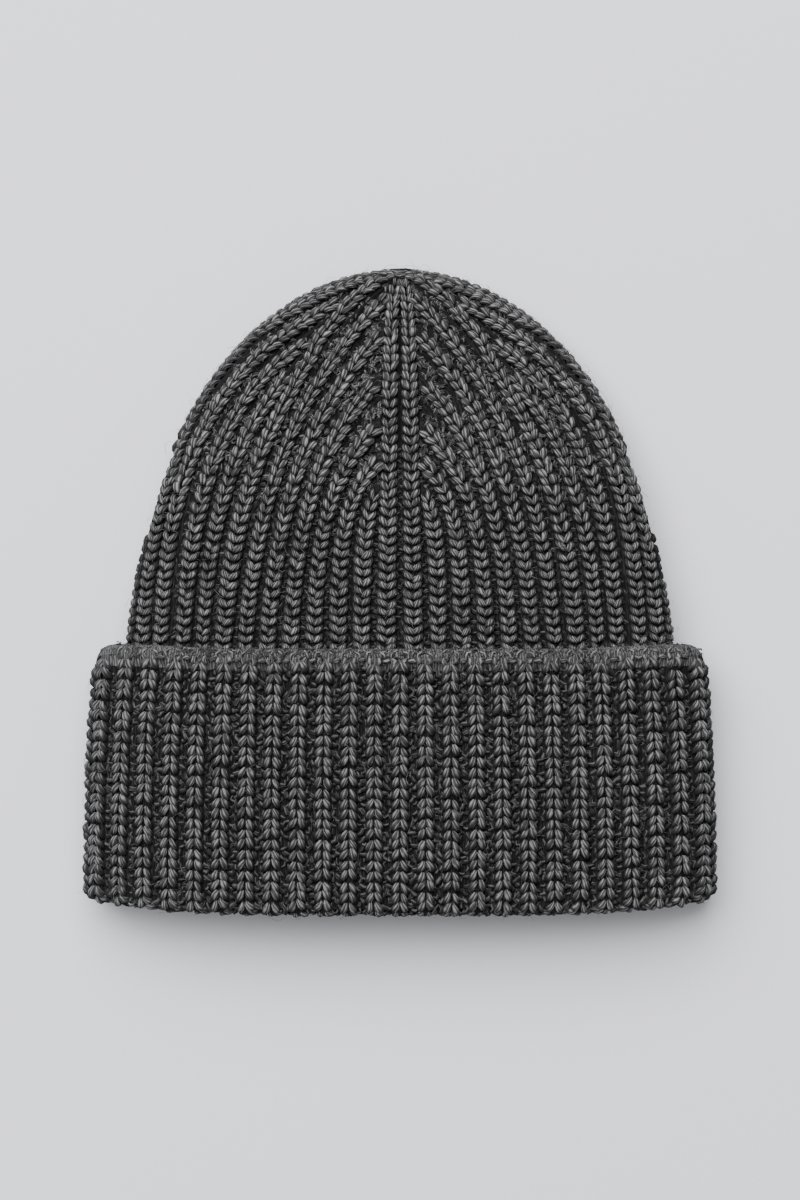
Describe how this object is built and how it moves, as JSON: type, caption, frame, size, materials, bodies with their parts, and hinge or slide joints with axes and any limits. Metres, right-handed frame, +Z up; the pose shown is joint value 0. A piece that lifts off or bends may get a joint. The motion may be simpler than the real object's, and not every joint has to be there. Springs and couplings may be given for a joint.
{
  "type": "ribbed wool hat with turned-up cuff",
  "caption": "Chunky rib-knit wool hat with a deep turned-up cuff, lying flat on its back.",
  "frame": {"origin": "on the surface that the hat lies on, under the middle of its width and length", "axes": "+Y from the mouth to the peak, +X to the wearer's left side as seen from above with the peak away from the viewer on the right, +Z up from the surface towards the front of the hat"},
  "size_m": [0.2278, 0.2346, 0.035],
  "materials": {
    "wool": "matte charcoal melange wool with fine pale fibres, knitted in 1x1 rib"
  },
  "bodies": {
    "root": {"crown": "wool", "cuff": "wool"}
  },
  "joints": []
}
